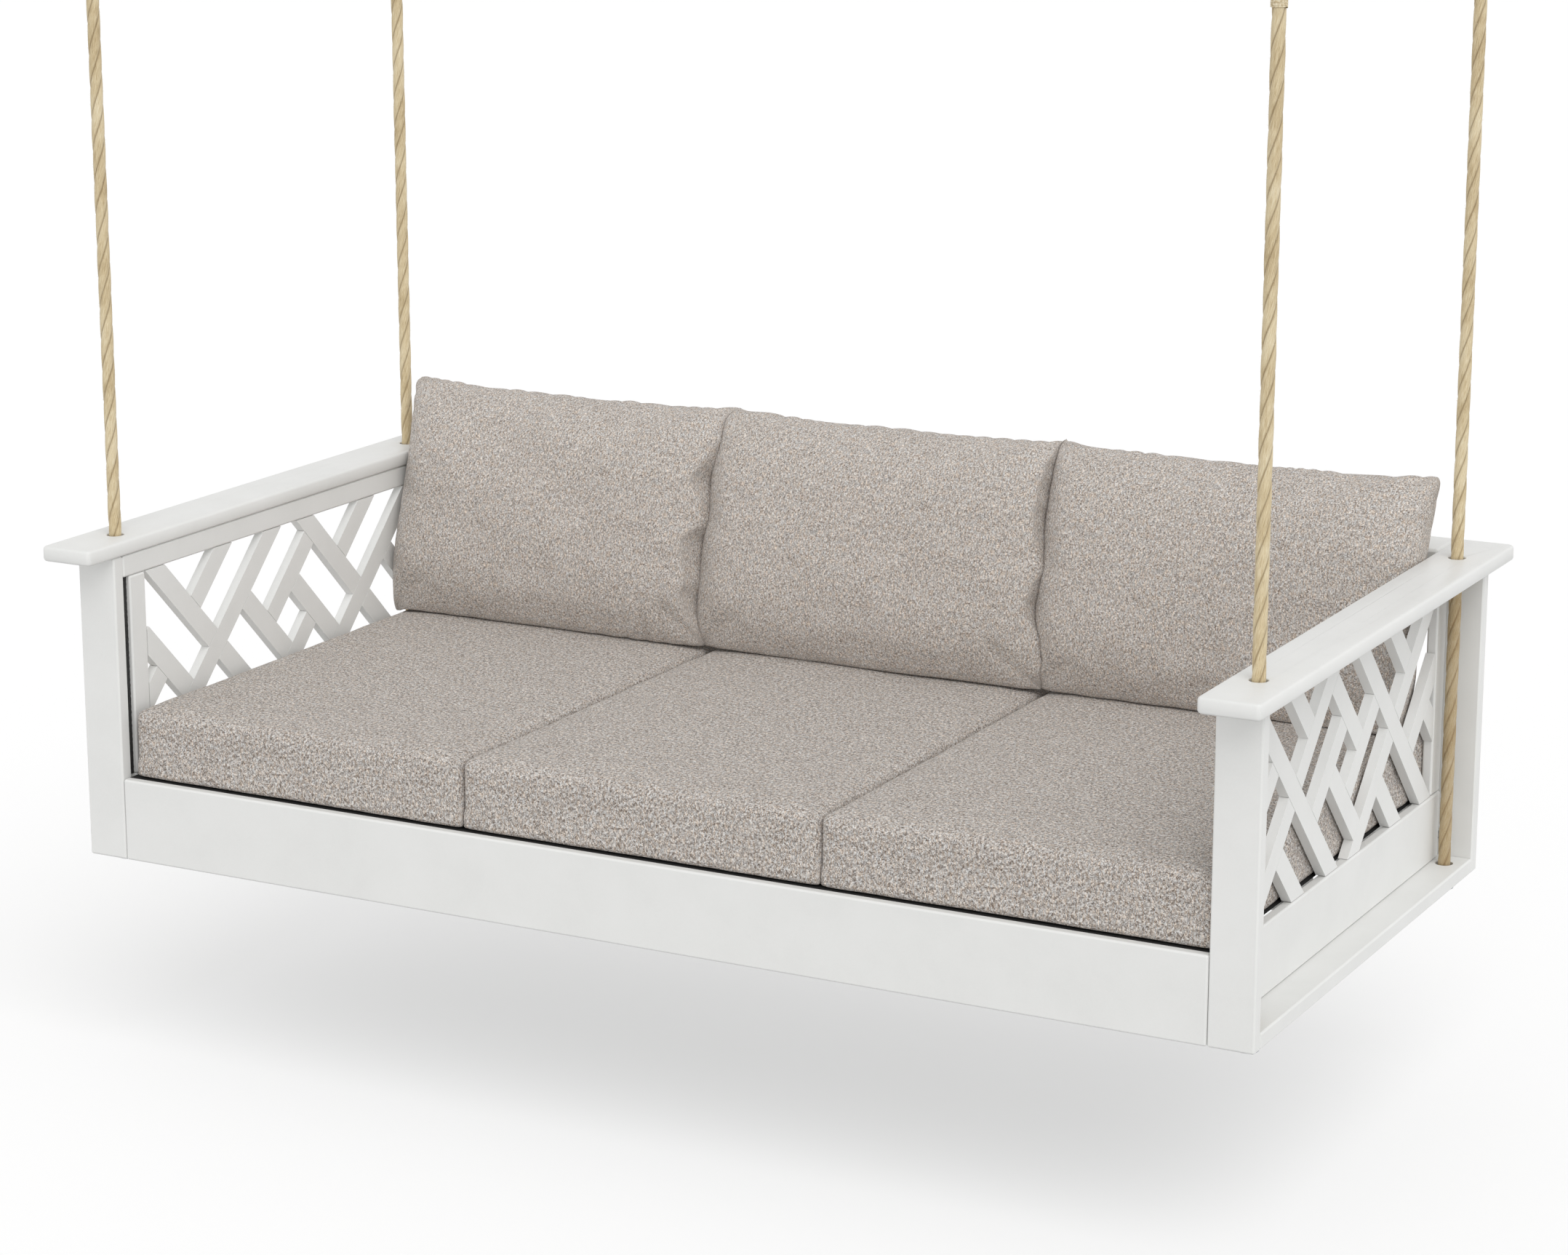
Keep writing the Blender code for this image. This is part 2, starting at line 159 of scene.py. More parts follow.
def polymer_material():
    """White moulded lumber: nearly even, with faint mottling, a fine pebbled skin and satin gloss."""
    mat, tree, shader = new_material("white_polymer")
    place = node(tree, "ShaderNodeTexCoord").outputs["Object"]
    cloud = noise(tree, place, 9.0, 5.0, 0.6)
    fleck = noise(tree, place, 420.0, 2.0, 0.6)
    tone = plus(tree, times(tree, cloud, 0.75), times(tree, fleck, 0.25))
    whites = ((0.30, (0.748, 0.750, 0.735)), (0.52, (0.778, 0.780, 0.764)), (0.75, (0.800, 0.801, 0.788)))
    tree.links.new(ramp(tree, tone, whites), shader.inputs["Base Color"])
    skin = noise(tree, place, 60.0, 3.0)
    gloss = node(tree, "ShaderNodeMapRange", {"Value": skin, "To Min": 0.40, "To Max": 0.52})
    tree.links.new(gloss.outputs[0], shader.inputs["Roughness"])
    shader.inputs["Specular IOR Level"].default_value = 0.38
    coarse = bump(tree, shader, noise(tree, place, 55.0, 3.0), 0.05, 0.0010)
    bump(tree, shader, noise(tree, place, 900.0, 2.0), 0.06, 0.0004, coarse)
    return mat


def cloth_material(name, lift, clump_scale, spread, streak=0.0):
    """Heathered plain weave: every thread changes shade along its length, warp and weft take turns on top.

    lift is the brightness, clump_scale the flecks per metre and spread how far the colour ramp's stops are
    pulled together, which raises the contrast. streak is the share of long dark and light warp threads.
    """
    mat, tree, shader = new_material(name)
    uv = node(tree, "ShaderNodeUVMap", uv_map="weave").outputs[0]
    split = node(tree, "ShaderNodeSeparateXYZ", {"Vector": uv})
    u, v = split.outputs[0], split.outputs[1]
    across = times(tree, u, 1 / THREAD)
    up = times(tree, v, 1 / THREAD)
    warp, weft = math_node(tree, "FLOOR", across), math_node(tree, "FLOOR", up)
    warp_in, weft_in = math_node(tree, "FRACT", across), math_node(tree, "FRACT", up)
    # 1 where the weft is on top and 0 where the warp is. The even number added keeps the sum above 0
    turn = math_node(tree, "MODULO", plus(tree, plus(tree, warp, weft), 8000.0), 2.0)

    def thread(number, along, length, seed):
        where = combine(tree, times(tree, number, 3.71), times(tree, along, 1 / length), seed)
        return noise(tree, where, 1.0, 2.0, 0.65)

    def on_top(warp_value, weft_value):
        of_warp = times(tree, math_node(tree, "SUBTRACT", 1.0, turn), warp_value)
        return plus(tree, of_warp, times(tree, turn, weft_value))

    warp_tone = thread(warp, v, 0.0032, 3.0)
    weft_tone = thread(weft, u, 0.0036, 9.0)
    slub = noise(tree, combine(tree, times(tree, across, 0.42), times(tree, v, 150.0), 5.0), 1.0, 2.0)
    tone = on_top(warp_tone, weft_tone)
    clump = noise(tree, uv, clump_scale, 3.0, 0.7)
    cloud = noise(tree, uv, 26.0, 3.0, 0.6)
    sum_ = plus(tree, times(tree, tone, 0.50), times(tree, slub, 0.16))
    sum_ = plus(tree, sum_, times(tree, clump, 0.30 - streak))
    if streak:
        where = combine(tree, times(tree, u, 560.0), times(tree, v, 70.0), 7.0)
        long_thread = noise(tree, where, 1.0, 2.0, 0.6)
        sum_ = plus(tree, sum_, times(tree, long_thread, streak))
    sum_ = plus(tree, sum_, times(tree, cloud, 0.04))
    shades = (
        (-0.160, (0.125, 0.098, 0.080)),
        (-0.060, (0.315, 0.277, 0.246)),
        (0.015, (0.500, 0.462, 0.430)),
        (0.130, (0.800, 0.765, 0.730)),
    )
    stops = [(0.5 + place / spread, [min(0.92, lift * c) for c in shade]) for place, shade in shades]
    colour = ramp(tree, sum_, stops)
    hue = noise(tree, combine(tree, times(tree, warp, 0.9), times(tree, v, 90.0), 2.0), 1.0, 2.0)
    warm = ramp(tree, hue, ((0.38, (0.94, 0.98, 1.02)), (0.50, (1.0, 1.0, 1.0)), (0.62, (1.07, 0.985, 0.90))))
    tinted = node(tree, "ShaderNodeMix", data_type="RGBA", blend_type="MULTIPLY")
    tinted.inputs[0].default_value = 1.0
    tree.links.new(colour, tinted.inputs[6])
    tree.links.new(warm, tinted.inputs[7])
    tree.links.new(tinted.outputs[2], shader.inputs["Base Color"])
    shader.inputs["Roughness"].default_value = 0.92
    shader.inputs["Specular IOR Level"].default_value = 0.22
    shader.inputs["Sheen Weight"].default_value = 0.10
    shader.inputs["Sheen Roughness"].default_value = 0.5
    crown_warp = math_node(tree, "SINE", times(tree, warp_in, math.pi))
    crown_weft = math_node(tree, "SINE", times(tree, weft_in, math.pi))
    height = on_top(crown_warp, crown_weft)
    fuzz = bump(tree, shader, clump, 0.35, 0.0008)
    bump(tree, shader, height, 0.55, 0.0004, fuzz)
    return mat


def rope_material(name, shade=1.0):
    """Tan fibre rope: yarns run along each strand, with painted shade down in the grooves between strands.

    A shade below 1 mixes in dark brown as painted shade, because the lower ropes, which hang under the arms,
    are darker in the photo.
    """
    mat, tree, shader = new_material(name)
    uv = node(tree, "ShaderNodeUVMap", uv_map="lay").outputs[0]
    split = node(tree, "ShaderNodeSeparateXYZ", {"Vector": uv})
    round_, along = split.outputs[0], split.outputs[1]
    yarn = plus(tree, times(tree, round_, 27.0), times(tree, along, 95.0))
    fibre = noise(tree, combine(tree, times(tree, yarn, 2.2), times(tree, along, 55.0), 0.0), 1.0, 4.0, 0.7)
    patch = noise(tree, combine(tree, round_, times(tree, along, 9.0), 4.0), 1.0, 3.0)
    tone = plus(tree, times(tree, fibre, 0.62), times(tree, patch, 0.38))
    tans = (
        (0.34, (0.375, 0.270, 0.140)),
        (0.46, (0.615, 0.495, 0.300)),
        (0.56, (0.750, 0.640, 0.430)),
        (0.68, (0.880, 0.800, 0.610)),
    )
    colour = ramp(tree, tone, tans)
    # painted shade: dark brown mixed in by how deep the point lies in a groove between strands
    deep = node(tree, "ShaderNodeAttribute", attribute_name="groove").outputs["Fac"]
    shaded = mix(tree, deep, colour, (0.235, 0.155, 0.075, 1.0))
    # painted shade for the ropes under the arms: dark brown mixed in by 1 - shade
    painted_shade_below = mix(tree, 1 - shade, shaded, (0.22, 0.125, 0.045, 1.0))
    tree.links.new(painted_shade_below, shader.inputs["Base Color"])
    shader.inputs["Roughness"].default_value = 0.85
    shader.inputs["Specular IOR Level"].default_value = 0.25
    shader.inputs["Sheen Weight"].default_value = 0.15
    ridge = math_node(tree, "SINE", times(tree, yarn, 2 * math.pi))
    first = bump(tree, shader, ridge, 0.35, 0.0006)
    bump(tree, shader, fibre, 0.6, 0.0008, first)
    return mat


def hair_material():
    mat, tree, shader = new_material("rope_hair")
    place = node(tree, "ShaderNodeTexCoord").outputs["Object"]
    colour = ramp(tree, noise(tree, place, 300.0), ((0.35, (0.60, 0.48, 0.29)), (0.65, (0.88, 0.80, 0.61))))
    tree.links.new(colour, shader.inputs["Base Color"])
    shader.inputs["Roughness"].default_value = 0.7
    return mat


def steel_material():
    """Galvanised steel: cloudy spangle under fine brush lines."""
    mat, tree, shader = new_material("steel")
    place = node(tree, "ShaderNodeTexCoord").outputs["Object"]
    spangle = node(tree, "ShaderNodeTexVoronoi", {"Vector": place, "Scale": 190.0}, feature="F1")
    grey = node(tree, "ShaderNodeRGBToBW", {"Color": spangle.outputs["Color"]}).outputs[0]
    colour = ramp(tree, grey, ((0.2, (0.40, 0.41, 0.42)), (0.8, (0.58, 0.59, 0.60))))
    tree.links.new(colour, shader.inputs["Base Color"])
    shader.inputs["Metallic"].default_value = 0.9
    gloss = node(tree, "ShaderNodeMapRange", {"Value": grey, "To Min": 0.34, "To Max": 0.50})
    tree.links.new(gloss.outputs[0], shader.inputs["Roughness"])
    stretched = node(tree, "ShaderNodeMapping", {"Vector": place, "Scale": (1.0, 14.0, 14.0)}).outputs[0]
    bump(tree, shader, noise(tree, stretched, 90.0, 3.0), 0.10, 0.0003)
    return mat


# painted shadow: a near-black strip stands in for the shade deep in the slot beside each front post
def slot_shade_material():
    mat, tree, shader = new_material("painted_slot_shade")
    place = node(tree, "ShaderNodeTexCoord").outputs["Object"]
    cells = noise(tree, place, 700.0, 3.0, 0.7)
    blacks = ((0.35, (0.012, 0.012, 0.012)), (0.60, (0.030, 0.030, 0.029)), (0.72, (0.16, 0.15, 0.14)))
    tree.links.new(ramp(tree, cells, blacks), shader.inputs["Base Color"])
    shader.inputs["Roughness"].default_value = 0.95
    bump(tree, shader, cells, 0.6, 0.0006)
    return mat


# painted shadow: a near-black sheet stands in for the shade in the gap under the seat cushions
def deck_shade_material():
    mat, tree, shader = new_material("painted_deck_shade")
    place = node(tree, "ShaderNodeTexCoord").outputs["Object"]
    blacks = ((0.3, (0.010, 0.010, 0.010)), (0.7, (0.022, 0.022, 0.021)))
    tree.links.new(ramp(tree, noise(tree, place, 500.0, 2.0), blacks), shader.inputs["Base Color"])
    shader.inputs["Roughness"].default_value = 0.9
    bump(tree, shader, noise(tree, place, 900.0, 2.0), 0.2, 0.0002)
    return mat


def dress(obj, mat):
    obj.data.materials.clear()
    obj.data.materials.append(mat)


THREAD = 0.00175  # from one thread to the next
POLYMER = polymer_material()
ROPE = rope_material("rope_fibre")
# a darker copy of the same rope for the ropes under the arms: painted shade
LOW_ROPE = rope_material("rope_fibre_below", 0.56)
SEAT_CLOTH = cloth_material("seat_cloth", lift=1.0, clump_scale=190.0, spread=1.6)
# the back cushions are the same cloth as the seat, painted 4.5% lighter (lift 1.045): painted light on their
# faces
BACK_CLOTH = cloth_material("back_cloth", lift=1.045, clump_scale=340.0, spread=1.32, streak=0.05)
HAIR, STEEL, SLOT_SHADE, DECK_SHADE = hair_material(), steel_material(), slot_shade_material(), deck_shade_material()


def add_object(name, mesh, mat):
    obj = bpy.data.objects.new(name, mesh)
    scene.collection.objects.link(obj)
    dress(obj, mat)
    return obj


def add_bmesh(name, bm, mat, turn_out=True):
    """Makes an object of a bmesh. turn_out points every face of a closed shape outwards."""
    if turn_out:
        bmesh.ops.recalc_face_normals(bm, faces=bm.faces)
    mesh = bpy.data.meshes.new(name)
    bm.to_mesh(mesh)
    bm.free()
    return add_object(name, mesh, mat)


# ---------------------------------------------------------------- camera, floor and light
camera = bpy.data.objects.new("camera", bpy.data.cameras.new("camera"))
scene.collection.objects.link(camera)
camera.location = (2.9499, -5.5326, 0.3672)
camera.rotation_euler = (math.radians(76.0135), 0.0, math.radians(27.9665))
camera.data.sensor_fit = "HORIZONTAL"
camera.data.sensor_width = 36.0
camera.data.lens = 89.737
camera.data.clip_end = 200.0
scene.camera = camera

CLEARANCE = 0.335  # from the rope stops down to the floor
floor_mat, _, floor_shader = new_material("pale_floor")
floor_shader.inputs["Base Color"].default_value = (0.57, 0.57, 0.57, 1.0)
floor_shader.inputs["Roughness"].default_value = 0.9
floor_shader.inputs["Specular IOR Level"].default_value = 0.0
floor_shader.inputs["Emission Color"].default_value = (1.0, 1.0, 1.0, 1.0)
floor_shader.inputs["Emission Strength"].default_value = 0.435
bm = bmesh.new()
bmesh.ops.create_grid(bm, x_segments=1, y_segments=1, size=60.0)
floor = add_bmesh("floor", bm, floor_mat, turn_out=False)
floor.location.z = cad_low.z - CLEARANCE
floor.visible_diffuse = False  # the sky below lights the part from beneath in its place

# soft light all round: strongest at the horizon, dimmer overhead and from below
# brightness by the direction's height: straight down at 0, level at 0.5, straight up at 1
SKY = ((0.0, 0.60), (0.40, 0.64), (0.47, 0.75), (0.495, 1.45), (0.62, 1.05), (0.75, 0.70), (1.0, 0.58))
world = bpy.data.worlds.new("studio")
scene.world = world
world.use_nodes = True
sky = world.node_tree
direction = node(sky, "ShaderNodeTexCoord").outputs["Generated"]
height = node(sky, "ShaderNodeSeparateXYZ", {"Vector": direction}).outputs[2]
stops = [(place, (value,) * 3) for place, value in SKY]
glow = ramp(sky, math_node(sky, "MULTIPLY_ADD", height, 0.5, 0.5), stops)
sky.links.new(glow, sky.nodes["Background"].inputs["Color"])
sky.nodes["Background"].inputs["Strength"].default_value = 1.0
scene.view_settings.view_transform = "Standard"
scene.view_settings.look = "None"

# one broad lamp, high on the right in front
key = bpy.data.lights.new("softbox", "SUN")
key.energy = 1.22
key.angle = math.radians(46)
key_object = bpy.data.objects.new("softbox", key)
key_object.rotation_euler = Vector((-0.455, 0.455, -0.766)).to_track_quat("-Z", "Y").to_euler()
scene.collection.objects.link(key_object)

# ---------------------------------------------------------------- ropes
ROPE_R = 0.0107
LAY = 0.155  # the length in which a strand goes round once
ROUND = 36  # points round a rope
HAIRS = 1100  # loose fibre ends per metre
HAIR_REACH = ROPE_R + 0.0020  # none stands further than this from the rope's middle
WHIPPING_R, TWINE_R = ROPE_R + 0.0007, 0.0011


def rope_profile():
    """(radius, depth in the groove) at each step round three strands pressed together."""
    made = []
    for n in range(ROUND):
        off = abs((n / ROUND * 3) % 1.0 - 0.5) * math.tau / 3  # from the middle of a strand
        groove = math.exp(-(((math.pi / 3 - off) / 0.17) ** 2))
        radius = ROPE_R * (1 - 0.045 * (1 - math.cos(3 * off)) / 2 - 0.115 * groove)
        made.append((radius, max(0.0, 1.0 - (math.pi / 3 - off) / 0.26)))
    return made


PROFILE = rope_profile()


def rope_mesh(name, line, frames, phase, round_foot=False, share=1.0, closed=False, seed=0):
    """A twisted three-strand tube along line. frames are two unit vectors across it at each point."""
    local = np.random.default_rng(100 + seed)
    # how quickly each wave turns, where it starts, and its share of the radius
    ranges = ((20, 70), (0, math.tau), (0.004, 0.014))
    waves = [tuple(local.uniform(*ends) for ends in ranges) for _ in range(6)]
    along = np.concatenate([[0], np.cumsum(np.linalg.norm(np.diff(line, axis=0), axis=1))])
    count = len(line) - 1 if closed else len(line)
    points, deep = [], []
    for k in range(count):
        s = along[k]
        near = 1.0
        if round_foot and s < ROPE_R:
            near = math.sqrt(max(0.0004, 1 - (1 - s / ROPE_R) ** 2))
        swell = 1 - 0.02 + sum(a * math.sin(f * s + p) for f, p, a in waves) * 0.6
        a, b = frames[k]
        for n, (radius, depth) in enumerate(PROFILE):
            turn = math.tau * n / ROUND + math.tau * s / LAY + phase
            out = a * math.cos(turn) + b * math.sin(turn)
            points.append(line[k] + min(swell, 1.0) * share * near * radius * out)
            deep.append(depth)
    bm = bmesh.new()
    verts = [bm.verts.new(p) for p in points]
    uv_layer = bm.loops.layers.uv.new("lay")
    rows = count if closed else count - 1
    for k in range(rows):
        for n in range(ROUND):
            here, there = k * ROUND, (k + 1) % count * ROUND
            m = (n + 1) % ROUND
            face = bm.faces.new((verts[here + n], verts[here + m], verts[there + m], verts[there + n]))
            face.smooth = True
            for loop, (i, j) in zip(face.loops, ((n, k), (n + 1, k), (n + 1, k + 1), (n, k + 1))):
                loop[uv_layer].uv = (i / ROUND, along[min(j, len(along) - 1)])
    if not closed:
        for ring in (verts[:ROUND][::-1], verts[-ROUND:]):
            bm.faces.new(ring)
    obj = add_bmesh(name, bm, ROPE)
    # how deep each point lies in a groove, which the rope material turns into painted shade
    groove = obj.data.attributes.new("groove", "FLOAT", "POINT")
    groove.data.foreach_set("value", np.array(deep, np.float32) ** 1.5 * 0.75)
    return obj


def hairs(name, line, seed):
    """Loose fibre ends that stand off a straight rope, as thin three-sided blades."""
    local = np.random.default_rng(500 + seed)
    low, high = line[0][2] + 0.004, line[-1][2] - 0.004
    points, faces = [], []
    for _ in range(int(HAIRS * (high - low))):
        z, angle = local.uniform(low, high), local.uniform(0, math.tau)
        out = Vector((math.cos(angle), math.sin(angle), 0))
        side = Vector((-out.y, out.x, 0))
        lean = side * local.normal(0.35, 0.5) + Vector((0, 0, local.normal(0.5, 0.8)))
        long = local.uniform(0.0018, 0.0052)
        start = Vector((line[0][0], line[0][1], z)) + out * ROPE_R * local.uniform(0.80, 0.97)
        bend = out * local.uniform(0.25, 0.9) + lean
        bend.normalize()
        thick = local.uniform(0.00010, 0.00022)
        steps = 4
        spots = []
        for k in range(steps):
            t = k / (steps - 1)
            curl = (side * math.sin(t * 3) + Vector((0, 0, t * t))) * long * local.uniform(-0.18, 0.18)
            spot = start + bend * long * t + curl
            away = Vector((spot.x - line[0][0], spot.y - line[0][1], 0))
            if away.length > HAIR_REACH:
                spot -= away * (1 - HAIR_REACH / away.length)
            spots.append(spot)
        base = len(points)
        for k, spot in enumerate(spots):
            size = thick * (1 - 0.7 * k / (steps - 1))
            for m in range(3):
                turn = math.tau * m / 3
                points.append(spot + size * (side * math.cos(turn) + Vector((0, 0, 1)) * math.sin(turn)))
        for k in range(steps - 1):
            for m in range(3):
                a, b = base + 3 * k + m, base + 3 * k + (m + 1) % 3
                faces.append((a, b, b + 3, a + 3))
    mesh = bpy.data.meshes.new(name)
    mesh.from_pydata([tuple(p) for p in points], [], faces)
    return add_object(name, mesh, HAIR)


def straight(x, y, low, high, step=0.004):
    count = max(2, round((high - low) / step) + 1)
    line = np.array([(x, y, z) for z in np.linspace(low, high, count)])
    return line, [(np.array((1.0, 0, 0)), np.array((0, 1.0, 0)))] * count


def whipping(name, x, y, low, high):
    """Twine wound round the rope just under its eye."""
    turns = int((high - low) / 0.0021)
    bm = bmesh.new()
    sections, ring_steps = 6, 20
    rows = []
    for k in range(turns * ring_steps + 1):
        angle = math.tau * k / ring_steps
        z = low + (high - low) * k / (turns * ring_steps)
        centre = Vector((x + WHIPPING_R * math.cos(angle), y + WHIPPING_R * math.sin(angle), z))
        out = Vector((math.cos(angle), math.sin(angle), 0))
        ring = []
        for m in range(sections):
            turn = math.tau * m / sections
            away = out * math.cos(turn) + Vector((0, 0, math.sin(turn)))
            ring.append(bm.verts.new(centre + TWINE_R * away))
        rows.append(ring)
    for here, there in zip(rows, rows[1:]):
        for m in range(sections):
            k = (m + 1) % sections
            bm.faces.new((here[m], here[k], there[k], there[m])).smooth = True
    return add_bmesh(name, bm, HAIR)


rope_count = 0
for end in ENDS:
    for side_name, _ in SIDES:
        tag = f"{end}_{side_name}"
        low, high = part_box("upper_rope_" + tag)
        x, y = (low.x + high.x) / 2, (low.y + high.y) / 2
        phase = rope_count * 2.13 + 0.4
        line, across = straight(x, y, low.z, high.z)
        upper = rope_mesh("twisted_upper_rope_" + tag, line, across, phase, round_foot=True, seed=rope_count)
        fuzz = hairs("upper_rope_hairs_" + tag, line, rope_count)
        bind = whipping("whipping_" + tag, x, y, high.z - 0.034, high.z + 0.001)
        eye_low, eye_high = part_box("rope_eye_" + tag)
        centre = np.array((eye_low + eye_high) / 2)
        ring_r = (eye_high.z - eye_low.z) / 2 - ROPE_R
        angles = np.linspace(0, math.tau, 41)
        outward = [np.array((0.0, math.sin(a), math.cos(a))) for a in angles]
        eye_line = np.array([centre + ring_r * o for o in outward])
        eye_across = [(o, np.array((1.0, 0, 0))) for o in outward]
        eye = rope_mesh(
            "twisted_eye_" + tag, eye_line, eye_across, 0.0, share=0.97, closed=True, seed=40 + rope_count
        )
        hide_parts("rope_eye_" + tag)
        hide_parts("upper_rope_" + tag)
        for piece in (upper, fuzz, bind, eye):
            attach(piece, end + "_ropes")
        low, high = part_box("lower_rope_" + tag)
        line, across = straight(x, y, low.z, high.z)
        lower = rope_mesh("twisted_lower_rope_" + tag, line, across, phase + 1.0, seed=20 + rope_count)
        fuzz = hairs("lower_rope_hairs_" + tag, line, 20 + rope_count)
        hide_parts("lower_rope_" + tag)
        dress(lower, LOW_ROPE)
        for piece in (lower, fuzz):
            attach(piece, "seat")
        rope_count += 1

# ---------------------------------------------------------------- boards and hardware
BOARDS = (
    "post", "arm", "ledge", "side_apron", "side_rail", "side_stile", "front_apron", "rear_apron",
    "back_cap", "back_rail", "back_stile", "cross_beam", "deck_slat",
)
METAL = ("ceiling_hanger", "rope_stop", "apron_bolt")


def bevel_edges(obj, width, segments, angle):
    bevel = obj.modifiers.new("round", "BEVEL")
    bevel.width = width
    bevel.segments = segments
    bevel.limit_method = "ANGLE"
    bevel.angle_limit = math.radians(angle)
    bevel.harden_normals = True


def soften(obj, width, segments):
    """Rounds a kept node's edges in the render, without touching its vertices."""
    if "custom_normal" in obj.data.attributes:
        obj.data.attributes.remove(obj.data.attributes["custom_normal"])
    weld = obj.modifiers.new("weld", "WELD")
    weld.merge_threshold = 0.00002
    bevel_edges(obj, width, segments, 25)
    obj.data.shade_smooth()
    obj.data.update()


for name, obj in nodes.items():
    if name.startswith(METAL):
        dress(obj, STEEL)
        soften(obj, 0.0004, 1)
    elif name.startswith(BOARDS):
        dress(obj, POLYMER)
        soften(obj, 0.0045 if "stile" in name else 0.0020, 3)

# ---------------------------------------------------------------- painted slot shadows
SLOT_SHADE_SET_BACK = 0.0062  # from the inner faces, where the rounded upright shows beside the post


def slot_shade_strip(side_name):
    """A near-black strip in the slot between a front post and the side panel behind it: painted shadow deep
    in the slot.
    """
    post_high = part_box("post_front_" + side_name)[1]
    stile_low, stile_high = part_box("side_stile_front_" + side_name)
    apron_high, rail_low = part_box("side_apron_" + side_name)[1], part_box("side_rail_" + side_name)[0]
    low = Vector((stile_low.x + 0.0015, post_high.y + 0.0002, apron_high.z + 0.0004))
    high = Vector((stile_high.x - 0.0015, stile_low.y - 0.0002, rail_low.z - 0.0004))
    if side_name == "left":
        high.x -= SLOT_SHADE_SET_BACK
    else:
        low.x += SLOT_SHADE_SET_BACK
    bm = bmesh.new()
    rings = []
    steps = 120
    for k in range(steps + 1):
        z = low.z + (high.z - low.z) * k / steps
        swell = 0.0007 * math.sin(k * 1.9) * math.sin(k * 0.37)
        x0, x1 = low.x + swell, high.x + 0.6 * swell
        corners = ((x0, low.y, z), (x1, low.y, z), (x1, high.y, z), (x0, high.y, z))
        rings.append([bm.verts.new(p) for p in corners])
    for a, b in zip(rings, rings[1:]):
        for m in range(4):
            bm.faces.new((a[m], a[(m + 1) % 4], b[(m + 1) % 4], b[m]))
    bm.faces.new(rings[0][::-1])
    bm.faces.new(rings[-1])
    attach(add_bmesh("foam_strip_" + side_name, bm, SLOT_SHADE), "seat")


for side_name, _ in SIDES:
    slot_shade_strip(side_name)

# ---------------------------------------------------------------- lattice
PITCH, SLAT, SLAT_THICK = 0.1035, 0.038, 0.016
RISING_START, FALLING_START = -0.125, 0.3154  # where slat 0 of each direction lies, in the turned axes
JOINT = 0.0011  # the dark line where a slat butts on another
SCRAP = 0.00012  # m2: the least piece of a slat that is kept
TIP = 0.0007  # m2: the least kept at the panel's foot or head, where a smaller one was never fitted


def clip(polygon, low, high, bottom, top):
    """A convex (across, up) polygon cut to a rectangle."""
    for axis, limit, sign in ((0, low, 1), (0, high, -1), (1, bottom, 1), (1, top, -1)):
        made = []
        for a, b in zip(polygon, polygon[1:] + polygon[:1]):
            da, db = (a[axis] - limit) * sign, (b[axis] - limit) * sign
            if da >= 0:
                made.append(a)
            if (da >= 0) != (db >= 0):
                t = da / (da - db)
                made.append((a[0] + (b[0] - a[0]) * t, a[1] + (b[1] - a[1]) * t))
        polygon = made
        if len(polygon) < 3:
            return []
    return polygon


def slats():
    """Every slat of the endless pattern as (rising?, middle, start, end, unbroken?) in the turned axes.

    The pattern repeats after three slats in each direction. Of the rising ones, one is a single long piece
    and the others are cut at the slats that they meet.
    """
    made = []
    for i in range(-16, 26):
        w = RISING_START + i * PITCH
        if i % 3 == 1:
            made.append((True, w, FALLING_START - 17 * PITCH, FALLING_START + 27 * PITCH, True))
            continue
        for k in range(-6, 9):
            first = 3 * k + 1
            a, b = {2: (first + 1, first + 3), 0: (first, first + 2)}[i % 3]
            if (i, a) != (-1, -1):  # left out at the top corner by the first upright
                made.append((True, w, FALLING_START + a * PITCH, FALLING_START + b * PITCH, False))
    for j in range(-16, 26):
        u = FALLING_START + j * PITCH
        for k in range(-6, 9):
            first = 3 * k + 1
            a, b = {1: (first, first + 3), 2: (first, first + 2), 0: (first + 1, first + 3)}[j % 3]
            made.append((False, u, RISING_START + a * PITCH, RISING_START + b * PITCH, False))
    return made


def area(polygon):
    return abs(sum(a[0] * b[1] - b[0] * a[1] for a, b in zip(polygon, polygon[1:] + polygon[:1]))) / 2


def lattice(name, cad_node, low, high, bottom, top, to_world):
    """Separate chamfered slats, butted together, in place of one CAD panel."""
    bm = bmesh.new()
    root = math.sqrt(0.5)
    for rising, middle, start, stop, runs_on in slats():
        short = 0.0 if runs_on else SLAT / 2 + JOINT / 2
        a, b, half = start + short, stop - short, SLAT / 2
        ring = [(a, middle - half), (b, middle - half), (b, middle + half), (a, middle + half)]
        if rising:
            polygon = [((u + w) * root, (u - w) * root) for u, w in ring]
        else:
            polygon = [((u + w) * root, (u - w) * root) for w, u in ring]
        polygon = clip(polygon, low, high, bottom, top)
        if not polygon or area(polygon) < SCRAP:
            continue
        if area(polygon) < TIP and any(min(z - bottom, top - z) < 0.00001 for _, z in polygon):
            continue
        near = [v for k, v in enumerate(polygon) if math.dist(v, polygon[k - 1]) > 0.0004]
        if len(near) < 3:
            continue
        front = [bm.verts.new(to_world(h, z, -SLAT_THICK / 2)) for h, z in near]
        back = [bm.verts.new(to_world(h, z, SLAT_THICK / 2)) for h, z in near]
        bm.faces.new(front)
        bm.faces.new(back[::-1])
        for k in range(len(near)):
            m = (k + 1) % len(near)
            bm.faces.new((front[m], front[k], back[k], back[m]))
    obj = add_bmesh(name, bm, POLYMER)
    bevel_edges(obj, 0.0042, 5, 35)
    obj.data.shade_smooth()
    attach(obj, "seat")
    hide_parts(cad_node)


# the lattice's own axes start at the frame's front face and underside
FRONT_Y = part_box("post_front_left")[0].y
BASE_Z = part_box("post_front_left")[0].z
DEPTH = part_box("post_rear_left")[1].y - FRONT_Y


def in_side_panel(middle, end_for_end):
    """A function from (along, up, through) in a side panel to a place on the part."""
    def place(h, z, t):
        along = DEPTH - h if end_for_end else h
        return middle + t, along + FRONT_Y, z + BASE_Z

    return place


